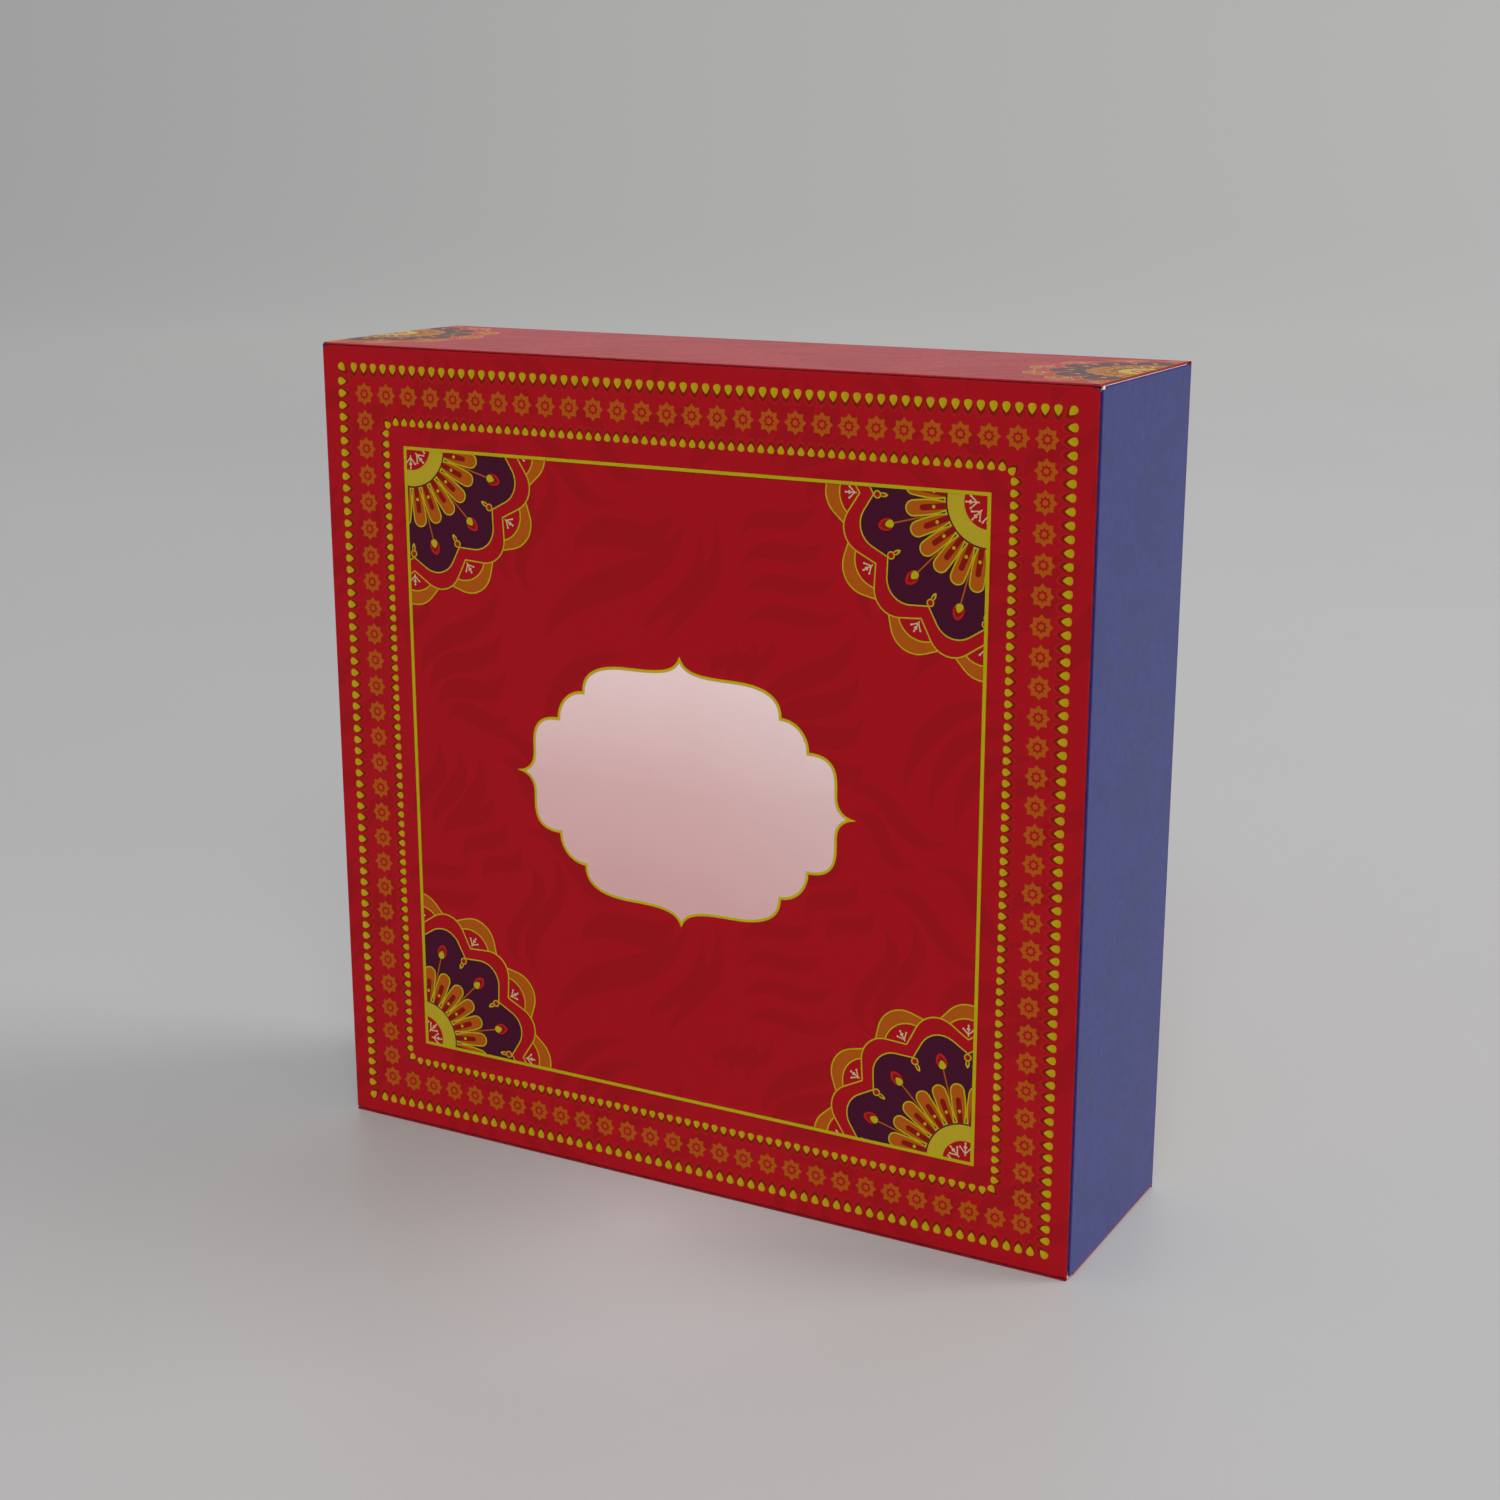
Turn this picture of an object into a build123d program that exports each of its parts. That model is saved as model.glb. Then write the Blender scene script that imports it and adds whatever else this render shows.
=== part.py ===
"""Hinged-lid sweet box folded from printed board, standing on its front wall.

The large square faces are the lid, towards -Y, and the base, towards +Y. The
lid folds on the hinge wall at the top and closes with a tuck flap over the
front wall at the bottom. Two dust flaps fold in from the side walls and lie
under the lid. The origin is the middle of the footprint, +Z is up.
Lengths are millimetres, angles are degrees.
"""

import math
import os

from build123d import *

# Box and board
box_width = 200.0
box_height = 200.0
box_depth = 56.0
board = 0.5
fold_round_share = 0.8

# Gaps at the creases and between the layers
crease_gap = 0.05
lid_air = 0.15
tuck_air = 0.1
wall_shortfall = 0.1

# Lid, and the small cut-outs at the ends of its crease
lid_reveal = 0.5
relief_width = 1.5
relief_height = 0.4

# Tuck flap along the lid's free edge
tuck_reach = 20.0
tuck_end_gap = 1.5
tuck_corner_round = 9.0
tuck_taper = 3.0
tuck_swing_air = 0.5
tuck_open_angle = 45.0

# Dust flaps on the side walls
dust_reach = 52.0
dust_root_drop = 1.2
dust_slope_share = 1.5
dust_foot = 3.2
dust_lock_width = 11.0
dust_lock_step = 3.0
dust_foot_rise = 5.0
dust_corner_round = 9.0

# Relief in the side walls' front corners
corner_relief_width = 2.2
corner_relief_height = 0.6

# Glue tabs inside the side walls
tab_length = 28.0
tab_front_setback = 1.1
tab_rear_setback = 1.5
tab_taper = 7.0
tab_corner_round = 4.0

# Foil cartouche, laid in a shallow pocket pressed into the lid
label_half_width = 45.5
label_half_height = 32.7
label_thickness = 0.15
label_clearance = 0.05

# The cartouche's upper right quarter, from its top point round to its right
# point, as shares of the two half sizes: an ogee, a shoulder, a round lobe,
# a second shoulder, a short straight side and the side ogee.
top_ogee_shares = [(0.0, 1.0), (0.027, 0.893), (0.099, 0.875), (0.301, 0.875)]
shoulder_shares = [(0.301, 0.875), (0.473, 0.877), (0.585, 0.82), (0.585, 0.657)]
lobe_shares = [(0.585, 0.657), (0.671, 0.657), (0.74, 0.557), (0.74, 0.437)]
haunch_shares = [(0.74, 0.437), (0.833, 0.44), (0.897, 0.394), (0.897, 0.232)]
side_ogee_shares = [(0.897, 0.151), (0.897, 0.058), (0.936, 0.012), (1.0, 0.0)]

# Places that the sizes above settle
half_width = box_width / 2
half_depth = box_depth / 2
fold_radius = board * fold_round_share
nose_radius = board / 2
flap_root = nose_radius + crease_gap
inner_x = half_width - board
inner_y = half_depth - board
lid_half_width = half_width - lid_reveal
hinge_y = -half_depth + nose_radius
hinge_z = box_height - nose_radius
tuck_z = board + tuck_air + nose_radius
dust_x = half_width - nose_radius
dust_y = -half_depth + board + lid_air + nose_radius
side_low = board + wall_shortfall
side_high = box_height - board - wall_shortfall
tuck_half_width = inner_x - board - tuck_end_gap
tuck_rise = tuck_reach**2 / (2 * (hinge_z - tuck_z)) + tuck_swing_air
tuck_tilt = math.degrees(math.atan2(tuck_rise, tuck_reach))
label_y = -half_depth + label_thickness
label_z = box_height / 2


def front_plane(y):
    """Plane facing -Y at the given depth: X to the right, Z up."""
    return Plane(origin=(0, y, 0), x_dir=(1, 0, 0), z_dir=(0, -1, 0))


def side_plane(x):
    """Plane facing +X at the given place: Y to the right, Z up."""
    return Plane(origin=(x, 0, 0), x_dir=(0, 1, 0), z_dir=(1, 0, 0))


def outline(points):
    """Flat face inside a closed run of straight edges."""
    return make_face(Polyline(*points, close=True))


def rectangle(left, right, low, high):
    """Flat rectangle between two pairs of places."""
    return outline([(left, low), (right, low), (right, high), (left, high)])


def nose(half_length):
    """Round bead of a crease, along X about its own axis."""
    bead = Cylinder(nose_radius, half_length * 2, rotation=(0, 90, 0))
    return bead


def make_base_panel():
    """Rear square face, with the four folds rounded on its outside."""
    sheet = front_plane(half_depth) * rectangle(-half_width, half_width, 0, box_height)
    panel = extrude(sheet, board)
    outer = panel.faces().sort_by(Axis.Y)[-1].edges()
    return fillet(outer, fold_radius)


def red_wall_section(outside, inside):
    """Section of a top or bottom wall: flat, with its two folds rounded."""
    section = rectangle(-inner_x, inner_x, min(outside, inside), max(outside, inside))
    corners = section.vertices().filter_by(lambda corner: abs(corner.Y - outside) < board / 2)
    return fillet(corners, fold_radius)


def make_hinge_wall():
    """Top wall, whose front edge is the crease that carries the lid."""
    section = front_plane(inner_y) * red_wall_section(box_height, box_height - board)
    plate = extrude(section, inner_y - hinge_y)
    bead = Pos(0, hinge_y, hinge_z) * nose(lid_half_width - relief_width)
    return plate + bead


def make_front_wall():
    """Bottom wall that the box stands on, with a plain cut front edge."""
    section = front_plane(inner_y) * red_wall_section(0, board)
    return extrude(section, inner_y + half_depth)


def make_side_wall():
    """Right wall, with a rounded crease in front and reliefs at its corners."""
    plate = rectangle(inner_x, half_width, dust_y, inner_y)
    crease = Pos(dust_x, dust_y) * Circle(nose_radius)
    wall = extrude(Pos(0, 0, side_low) * (plate + crease), side_high - side_low)
    low = dust_y - nose_radius
    high = low + corner_relief_width
    for level, step in ((side_low, corner_relief_height), (side_high, -corner_relief_height)):
        notch = rectangle(low, high, min(level, level + step), max(level, level + step))
        wall -= extrude(side_plane(inner_x) * notch, board)
    return wall


def make_tab(level, direction):
    """Glue tab folded from a top or bottom wall against the right wall."""
    front = dust_y + nose_radius + tab_front_setback - board
    rear = inner_y - tab_rear_setback
    end = level + direction * tab_length
    shape = outline([
        (front, level),
        (rear, level),
        (rear - tab_taper, end),
        (front + tab_taper, end),
    ])
    tips = shape.vertices().filter_by(lambda corner: abs(corner.Y - end) < board)
    return extrude(side_plane(inner_x - board) * fillet(tips, tab_corner_round), board)


def cartouche(grow):
    """Closed ogee outline, mirrored from one quarter and grown evenly."""
    wide = label_half_width + grow
    tall = label_half_height + grow
    runs = (top_ogee_shares, shoulder_shares, lobe_shares, haunch_shares, side_ogee_shares)
    curves = [Bezier(*[(wide * x, tall * y) for x, y in run]) for run in runs]
    quarter = curves + [Line(curves[3] @ 1, curves[4] @ 0)]
    half = quarter + [edge.mirror(Plane.XZ) for edge in quarter]
    edges = half + [edge.mirror(Plane.YZ) for edge in half]
    return make_face(Wire(edges))


def make_label():
    """Foil cartouche, flush with the lid's face."""
    return extrude(front_plane(label_y) * (Pos(0, label_z) * cartouche(0)), label_thickness)


def make_lid_panel():
    """Square lid with its cartouche pocket, end reliefs and tuck crease."""
    top = hinge_z - flap_root
    sheet = rectangle(-lid_half_width, lid_half_width, tuck_z, top)
    panel = extrude(front_plane(-half_depth + board) * sheet, board)
    for side in (-1, 1):
        edge = side * lid_half_width
        inner = edge - side * relief_width
        notch = rectangle(min(edge, inner), max(edge, inner), top - relief_height, top)
        panel -= extrude(front_plane(-half_depth + board) * notch, board)
    pocket = Pos(0, label_z) * cartouche(label_clearance)
    panel -= extrude(front_plane(label_y) * pocket, label_thickness)
    return panel + Pos(0, hinge_y, tuck_z) * nose(tuck_half_width)


def make_tuck_flap():
    """Tuck flap, bevelled at its crease and rounded at its free corners."""
    shape = outline([
        (-tuck_half_width, flap_root),
        (tuck_half_width, flap_root),
        (tuck_half_width - tuck_taper, tuck_reach),
        (-tuck_half_width + tuck_taper, tuck_reach),
    ])
    tips = shape.vertices().filter_by(lambda corner: abs(corner.Y - tuck_reach) < board)
    sheet = extrude(Pos(0, 0, -nose_radius) * fillet(tips, tuck_corner_round), board)
    steepest = math.radians(tuck_tilt + tuck_open_angle)
    bevel = nose_radius * (1 + math.sin(steepest)) / math.cos(steepest) + crease_gap
    wedge = outline([
        (flap_root, -nose_radius),
        (flap_root, nose_radius),
        (bevel, nose_radius),
    ])
    sheet -= extrude(side_plane(-half_width) * wedge, box_width)
    return Pos(0, hinge_y, tuck_z) * Rot(tuck_tilt, 0, 0) * sheet


def make_dust_flap():
    """Right dust flap, sloped so that it stays under the swinging lid."""
    root = dust_x - flap_root
    tip = dust_x - dust_reach
    top = hinge_z - dust_root_drop
    shoulder = top - dust_reach / dust_slope_share
    lock = root - dust_lock_width
    shape = outline([
        (root, dust_foot),
        (lock, dust_foot),
        (lock - dust_lock_step, dust_foot + dust_lock_step),
        (tip, dust_foot + dust_lock_step + dust_foot_rise),
        (tip, shoulder),
        (root, top),
    ])
    tips = shape.vertices().filter_by(lambda corner: abs(corner.X - tip) < board)
    rounded = fillet(tips, dust_corner_round)
    return extrude(front_plane(dust_y + nose_radius) * rounded, board)


def left_of(solid):
    """The same piece on the box's left side."""
    return mirror(solid, Plane.YZ)


def build():
    """Every piece of the box by its node name."""
    side_wall = make_side_wall()
    dust_flap = make_dust_flap()
    upper_tab = make_tab(box_height - board, -1)
    lower_tab = make_tab(board, 1)
    return {
        "base_panel": make_base_panel(),
        "hinge_wall": make_hinge_wall(),
        "front_wall": make_front_wall(),
        "right_wall": side_wall,
        "left_wall": left_of(side_wall),
        "hinge_tab_right": upper_tab,
        "hinge_tab_left": left_of(upper_tab),
        "front_tab_right": lower_tab,
        "front_tab_left": left_of(lower_tab),
        "lid_panel": make_lid_panel(),
        "tuck_flap": make_tuck_flap(),
        "right_dust_flap": dust_flap,
        "left_dust_flap": left_of(dust_flap),
        "cartouche_label": make_label(),
    }


os.makedirs("parts", exist_ok=True)
for name, solid in build().items():
    export_step(solid, f"parts/{name}.step")
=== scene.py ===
"""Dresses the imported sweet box: varnished board, layered print, foil label, studio.

The print is built as thin closed patches that lie on the faces of the box, one
piece for each ink on each face. A place on a face is (across, down) in
millimetres from its upper left corner, seen from outside. Everything else is
in metres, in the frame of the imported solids.
"""

import logging
import math
from dataclasses import dataclass, field
from enum import Enum

import bpy
import numpy as np
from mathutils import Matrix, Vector


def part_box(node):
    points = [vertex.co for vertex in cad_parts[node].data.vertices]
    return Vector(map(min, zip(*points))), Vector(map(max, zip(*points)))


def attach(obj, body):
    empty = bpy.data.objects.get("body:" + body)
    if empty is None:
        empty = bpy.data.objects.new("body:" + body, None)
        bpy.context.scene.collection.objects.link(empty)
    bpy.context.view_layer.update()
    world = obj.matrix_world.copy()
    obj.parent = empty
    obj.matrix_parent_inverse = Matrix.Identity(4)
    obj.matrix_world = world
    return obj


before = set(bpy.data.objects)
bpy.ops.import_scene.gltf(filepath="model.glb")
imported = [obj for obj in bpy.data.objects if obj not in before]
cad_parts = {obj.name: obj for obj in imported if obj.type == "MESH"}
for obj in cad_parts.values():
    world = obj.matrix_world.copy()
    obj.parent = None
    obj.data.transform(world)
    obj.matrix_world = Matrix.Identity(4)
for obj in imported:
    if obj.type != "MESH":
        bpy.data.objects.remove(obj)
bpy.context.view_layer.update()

MM = 0.001
LAYER = 0.012
CUT_STEP = 0.003
LEAF_LAYER = 0.35
CODED_TO_LINEAR_SPLIT = 0.04045
GLOSS = 0.13
BLUR = 0.00001
# deep navy: painted shade along the side walls' folds, and the corner webs' own colour
FOLD_NAVY = (32, 36, 106)

log = logging.getLogger("sweet_box")

Triple = tuple[float, float, float]
Window = tuple[float, float, float, float]


def linear(coded: Triple) -> tuple[float, float, float, float]:
    """Turns a colour written as 0 to 255 into the shader's linear values.

    Args:
        coded: Red, green and blue from 0 to 255.

    Returns:
        Linear red, green and blue, and an alpha of one. Formula: the standard
        display curve, a straight toe and then a power of 2.4.
    """
    share = np.asarray(coded, float) / 255.0
    curved = ((share + 0.055) / 1.055) ** 2.4
    value = np.where(share <= CODED_TO_LINEAR_SPLIT, share / 12.92, curved)
    return (*(float(part) for part in value), 1.0)


# Shader maths


class Wire:
    """A node's output that Python sums can use; each sum adds a Math node."""

    def __init__(self, bench: "Bench", socket: bpy.types.NodeSocket) -> None:
        """Keeps the socket and the bench that it belongs to."""
        self.bench = bench
        self.socket = socket

    def _sum(self, operation: str, first: object, second: object) -> "Wire":
        """Adds the Math node of one operation on two values or wires."""
        return self.bench.add(
            "ShaderNodeMath", {"operation": operation}, {0: first, 1: second}
        )

    def __add__(self, other: object) -> "Wire":
        """Sum of this and other."""
        return self._sum("ADD", self, other)

    __radd__ = __add__

    def __sub__(self, other: object) -> "Wire":
        """This less other."""
        return self._sum("SUBTRACT", self, other)

    def __rsub__(self, other: object) -> "Wire":
        """Other less this."""
        return self._sum("SUBTRACT", other, self)

    def __mul__(self, other: object) -> "Wire":
        """Product of this and other."""
        return self._sum("MULTIPLY", self, other)

    __rmul__ = __mul__

    def __truediv__(self, other: object) -> "Wire":
        """This divided by other."""
        return self._sum("DIVIDE", self, other)

    def larger(self, other: object) -> "Wire":
        """The larger of this and other."""
        return self._sum("MAXIMUM", self, other)

    def held(self) -> "Wire":
        """This, held between nought and one."""
        return self.bench.add(
            "ShaderNodeMath", {"operation": "ADD", "use_clamp": True}, {0: self, 1: 0.0}
        )


class Bench:
    """The node tree of a material or a world, and the nodes added to it."""

    def __init__(self, owner: bpy.types.Material | bpy.types.World, output: str) -> None:
        """Empties the owner's tree.

        Args:
            owner: The material or world.
            output: The type of its output node.
        """
        owner.use_nodes = True
        self.tree = owner.node_tree
        self.tree.nodes.clear()
        self._output = output
        self._place: Wire | None = None

    def finish(self, shader: "Wire") -> None:
        """Shows a shader through the tree's output node."""
        self.add(self._output, None, {"Surface": shader}, None)

    def _feed(self, socket: bpy.types.NodeSocket, value: object) -> None:
        """Links a wire to a socket, or sets the socket to a plain value."""
        if isinstance(value, Wire):
            self.tree.links.new(value.socket, socket)
        else:
            socket.default_value = value

    def add(
        self,
        kind: str,
        settings: dict[str, object] | None = None,
        sockets: dict[int | str, object] | None = None,
        out: int | str | None = 0,
    ) -> Wire | None:
        """Adds one node.

        Args:
            kind: The node's type.
            settings: Its properties, set before its sockets; stops holds a
                ramp's places and colours.
            sockets: Values or wires by the name or number of an input.
            out: The output to return, or None for a node that has none.

        Returns:
            The chosen output as a wire.
        """
        node = self.tree.nodes.new(kind)
        for key, value in (settings or {}).items():
            if key == "stops":
                self._set_stops(node, value)
            else:
                setattr(node, key, value)
        for key, value in (sockets or {}).items():
            self._feed(node.inputs[key], value)
        return None if out is None else Wire(self, node.outputs[out])

    @staticmethod
    def _set_stops(node: bpy.types.Node, stops: list[tuple[float, tuple]]) -> None:
        """Gives a ramp its places and colours, in order."""
        elements = node.color_ramp.elements
        while len(elements) < len(stops):
            elements.new(1.0)
        for element, (place, colour) in zip(elements, stops):
            element.position = place
            element.color = colour

    def surface(self, **values: object) -> Wire:
        """A surface shader with these inputs; _ stands for a space."""
        sockets = {key.replace("_", " "): value for key, value in values.items()}
        return self.add("ShaderNodeBsdfPrincipled", None, sockets)

    def blend(self, share: Wire, first: Wire, second: Wire) -> Wire:
        """Two shaders mixed by a share from nought to one."""
        return self.add("ShaderNodeMixShader", None, {0: share, 1: first, 2: second})

    def ray(self, kind: str) -> Wire:
        """One for rays of a kind, such as Is Camera Ray, and nought for others."""
        return self.add("ShaderNodeLightPath", out=kind)

    def place(self) -> Wire:
        """Object coordinates, in metres."""
        if self._place is None:
            self._place = self.add("ShaderNodeTexCoord", out="Object")
        return self._place

    def vector(self, operation: str, first: object, second: object) -> Wire:
        """A Vector Math node on two vectors; a dot product gives a number."""
        out = "Value" if operation in ("DOT_PRODUCT", "LENGTH", "DISTANCE") else 0
        return self.add(
            "ShaderNodeVectorMath", {"operation": operation}, {0: first, 1: second}, out
        )

    def part(self, vector: Wire, axis: str) -> Wire:
        """One of a vector's three parts: X, Y or Z."""
        return self.add("ShaderNodeSeparateXYZ", None, {0: vector}, axis)

    def mix(self, share: object, first: object, second: object) -> Wire:
        """A colour between two, by a share from nought to one."""
        return self.add(
            "ShaderNodeMix", {"data_type": "RGBA"}, {0: share, 6: first, 7: second}, 2
        )

    def shaded(self, colour: object, factor: Wire) -> Wire:
        """A colour made lighter or darker by a factor near one."""
        grey = self.add("ShaderNodeCombineXYZ", None, {0: factor, 1: factor, 2: factor})
        return self.add(
            "ShaderNodeMix",
            {"data_type": "RGBA", "blend_type": "MULTIPLY"},
            {0: 1.0, 6: colour, 7: grey},
            2,
        )

    def noise(
        self, grain: float, low: float, high: float, stretch: Triple = (1, 1, 1)
    ) -> Wire:
        """Soft noise of a given grain.

        Args:
            grain: Size of one lump, in metres.
            low: The value at the noise's low end.
            high: The value at its high end.
            stretch: How much longer a lump is along X, Y and Z.

        Returns:
            The noise, mapped from its usual spread to low and high.
        """
        scale = tuple(1.0 / (grain * part) for part in stretch)
        place = self.vector("MULTIPLY", self.place(), scale)
        raw = self.add(
            "ShaderNodeTexNoise", None, {"Vector": place, "Scale": 1.0, "Detail": 3.0}
        )
        return self.add(
            "ShaderNodeMapRange",
            None,
            {"Value": raw, 1: 0.3, 2: 0.7, 3: low, 4: high},
        )

    def bump(self, height: Wire, depth: float) -> Wire:
        """A normal from a height whose full range is depth metres."""
        return self.add(
            "ShaderNodeBump", None, {"Strength": 1.0, "Distance": depth, "Height": height}
        )


class Surface(Bench):
    """The bench of one new material."""

    def __init__(self, name: str) -> None:
        """Starts an empty material of that name."""
        self.material = bpy.data.materials.new(name)
        super().__init__(self.material, "ShaderNodeOutputMaterial")


# Finishes


@dataclass(frozen=True)
class InkFinish:
    """A printed ink under satin varnish.

    A patch's tone attribute runs from nought, the near colour, to one, the far.
    """

    title: str
    near: Triple
    far: Triple
    unevenness: float = 0.01
    roughness: float = 0.42

    def material(self) -> bpy.types.Material:
        """Builds the ink: two tones, faint mottling and fine tooth."""
        bench = Surface(self.title)
        tone = bench.add(
            "ShaderNodeAttribute",
            {"attribute_name": "tone", "attribute_type": "GEOMETRY"},
            out="Fac",
        )
        colour = bench.mix(tone, linear(self.near), linear(self.far))
        spread = self.unevenness
        cloud = bench.noise(0.004, 1.0 - spread, 1.0 + spread)
        speck = bench.noise(0.00025, 1.0 - spread / 2, 1.0 + spread / 2)
        tooth = bench.noise(0.00018, 0.0, 1.0)
        bench.finish(bench.surface(
            Base_Color=bench.shaded(colour, cloud * speck),
            Roughness=bench.noise(0.0015, self.roughness - 0.03, self.roughness + 0.03),
            Normal=bench.bump(tooth, 0.0000015),
            Specular_IOR_Level=GLOSS,
        ))
        return bench.material


@dataclass(frozen=True)
class BoardFinish:
    """Folding board with one printed and varnished side and one bare side.

    outward points from the bare side to the printed one, and print_from is
    the place along it, in metres, where the printed side's colour starts.
    middle and half are the panel's own, with a half of one across its
    thickness. The print turns over the cut edges and covers turn_over metres
    of the bare side, and below hem it has the colour of the foot. Within
    fold_width of the edges across fold_axes the ink takes the fold colour: on
    the back panel the navy print of the sides, on the other boards a darker
    painted shade along the folds and cut edges.
    """

    title: str
    print_colour: Triple
    outward: Triple
    print_from: float
    middle: Triple
    half: Triple
    turn_over: float = 0.00006
    hem: float = -1.0
    hem_colour: Triple = (149, 4, 17)
    fold_width: float = 0.0
    fold_print_and_shade_colour: Triple = FOLD_NAVY
    fold_axes: str = "XYZ"
    bare_colour: Triple = (228, 225, 216)
    rubbed_colour: Triple = (190, 120, 115)
    rub_width: float = 0.00035
    gloss: float = GLOSS

    def material(self) -> bpy.types.Material:
        """Builds the board: print, bare back, fibres and rubbed folds."""
        bench = Surface(self.title)
        height = bench.vector("DOT_PRODUCT", bench.place(), self.outward)
        away = bench.vector("SUBTRACT", bench.place(), self.middle)
        away = bench.vector("ABSOLUTE", away, (0, 0, 0))
        past = bench.vector("SUBTRACT", away, self.half)
        edge = self.farthest(bench, past, "XYZ")
        turned_over = ((edge + self.turn_over) / BLUR).held()
        printed = ((height - self.print_from) / (2 * BLUR)).held().larger(turned_over)
        rub = ((edge + self.rub_width) / self.rub_width).held()
        rub = rub * bench.noise(0.0011, 0.0, 0.05)

        cloud = bench.noise(0.012, 0.992, 1.008)
        speck = bench.noise(0.0003, 0.994, 1.006)
        ink = linear(self.print_colour)
        # band along the edges: print on the back panel, painted shade on the other boards
        if self.fold_width > 0:
            beside = self.farthest(bench, past, self.fold_axes)
            fold = ((beside + self.fold_width) / (5 * BLUR)).held()
            ink = bench.mix(fold, ink, linear(self.fold_print_and_shade_colour))
        if self.hem > 0:
            low = ((self.hem - bench.part(bench.place(), "Z")) / (2 * BLUR)).held()
            ink = bench.mix(low, ink, linear(self.hem_colour))
        ink = bench.shaded(ink, cloud * speck)
        ink = bench.mix(rub, ink, linear(self.rubbed_colour))
        pulp = bench.noise(0.0006, 0.93, 1.04, (4.0, 4.0, 1.0))
        stock = bench.noise(0.009, 0.98, 1.02)
        bare = bench.shaded(linear(self.bare_colour), pulp * stock)
        sheen = bench.noise(0.0018, 0.38, 0.46)
        dull = bench.noise(0.0012, 0.72, 0.86)
        tooth = bench.noise(0.0002, 0.0, 1.0) * (1.0 - printed * 0.75)
        fibre = bench.noise(0.0005, 0.0, 1.0, (5.0, 5.0, 1.0)) * (1.0 - printed * 0.8)
        bench.finish(bench.surface(
            Base_Color=bench.mix(printed, bare, ink),
            Roughness=sheen * printed + dull * (1.0 - printed),
            Normal=bench.bump(tooth * 0.5 + fibre, 0.000008),
            Specular_IOR_Level=self.gloss,
        ))
        return bench.material

    @staticmethod
    def farthest(bench: Bench, past: Wire, axes: str) -> Wire:
        """The largest of a vector's parts along the named axes."""
        result = bench.part(past, axes[0])
        for axis in axes[1:]:
            result = result.larger(bench.part(past, axis))
        return result


@dataclass(frozen=True)
class FoilFinish:
    """Pale satin foil with a fine brushed grain, whose pink carries a painted reflection and
    painted light from the right.
    """

    title: str = "pale_satin_foil"
    pink_and_painted_reflection: tuple[tuple[float, Triple], ...] = (
        (0.067, (215, 166, 165)), (0.1, (227, 185, 184)), (0.133, (250, 221, 220))
    )
    painted_light_right: Triple = (255, 264, 264)

    def material(self) -> bpy.types.Material:
        """Builds the foil: a soft mirror whose pink is darker low down and paler upwards, a
        painted reflection, and a little less red to the right, painted light from that side.
        """
        bench = Surface(self.title)
        low, high = self.pink_and_painted_reflection[0][0], self.pink_and_painted_reflection[-1][0]
        # the foil's own pink with a painted reflection: darker low down, paler upwards
        rise = (bench.part(bench.place(), "Z") - low) / (high - low)
        stops = [
            ((place - low) / (high - low), linear(tint)) for place, tint in self.pink_and_painted_reflection
        ]
        tint = bench.add(
            "ShaderNodeValToRGB", {"stops": stops}, {"Fac": rise}, "Color"
        )
        # painted light: a little paler and less red towards the right
        sideways = ((bench.part(bench.place(), "X") - 0.004) / 0.038).held()
        tint = bench.vector(
            "MULTIPLY", tint, bench.mix(sideways, (1.0, 1.0, 1.0, 1.0), linear(self.painted_light_right))
        )
        streak = bench.noise(0.0002, 0.985, 1.015, (30.0, 1.0, 1.0))
        bench.finish(bench.surface(
            Base_Color=bench.shaded(tint, streak * bench.noise(0.02, 0.985, 1.015)),
            Metallic=0.35,
            Roughness=bench.noise(0.003, 0.32, 0.36),
            Normal=bench.bump(streak, 0.000002),
            Specular_IOR_Level=0.4,
        ))
        return bench.material


class Ink(Enum):
    """The inks of the box, each with its finish."""

    LEAF_RED = InkFinish("leaf_red_ink", (141, 4, 15), (142, 5, 16))
    # darker leaf red for the top face: painted shade, where the top takes more light
    LEAF_TOP_PAINTED_SHADE = InkFinish("top_leaf_painted_shade_ink", (131, 4, 15), (132, 4, 16))
    LEAF_NAVY = InkFinish("leaf_navy_ink", (58, 62, 109), (59, 63, 110))
    RED = InkFinish("red_ink", (149, 4, 17), (149, 4, 17))
    PETAL_RED = InkFinish("petal_red_ink", (153, 17, 17), (150, 14, 16))
    BUD_RED = InkFinish("bud_red_ink", (163, 20, 21), (159, 18, 20))
    DEEP_RED = InkFinish("deep_red_ink", (118, 9, 4), (120, 11, 4))
    GOLD = InkFinish("gold_ink", (161, 151, 3), (164, 130, 4), 0.05, 0.36)
    LABEL_GOLD = InkFinish("label_gold_ink", (172, 155, 4), (170, 146, 4), 0.05, 0.32)
    ORANGE = InkFinish("orange_ink", (154, 74, 3), (151, 70, 4))
    OLIVE = InkFinish("olive_gold_ink", (162, 143, 28), (157, 137, 24), 0.04)
    AUBERGINE = InkFinish("aubergine_ink", (58, 5, 32), (57, 5, 31))
    CREAM = InkFinish("cream_ink", (180, 160, 119), (178, 158, 117))
    PALE = InkFinish("pale_edge_ink", (197, 176, 190), (197, 176, 190))
    FOIL = FoilFinish("pale_foil_skin")


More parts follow.
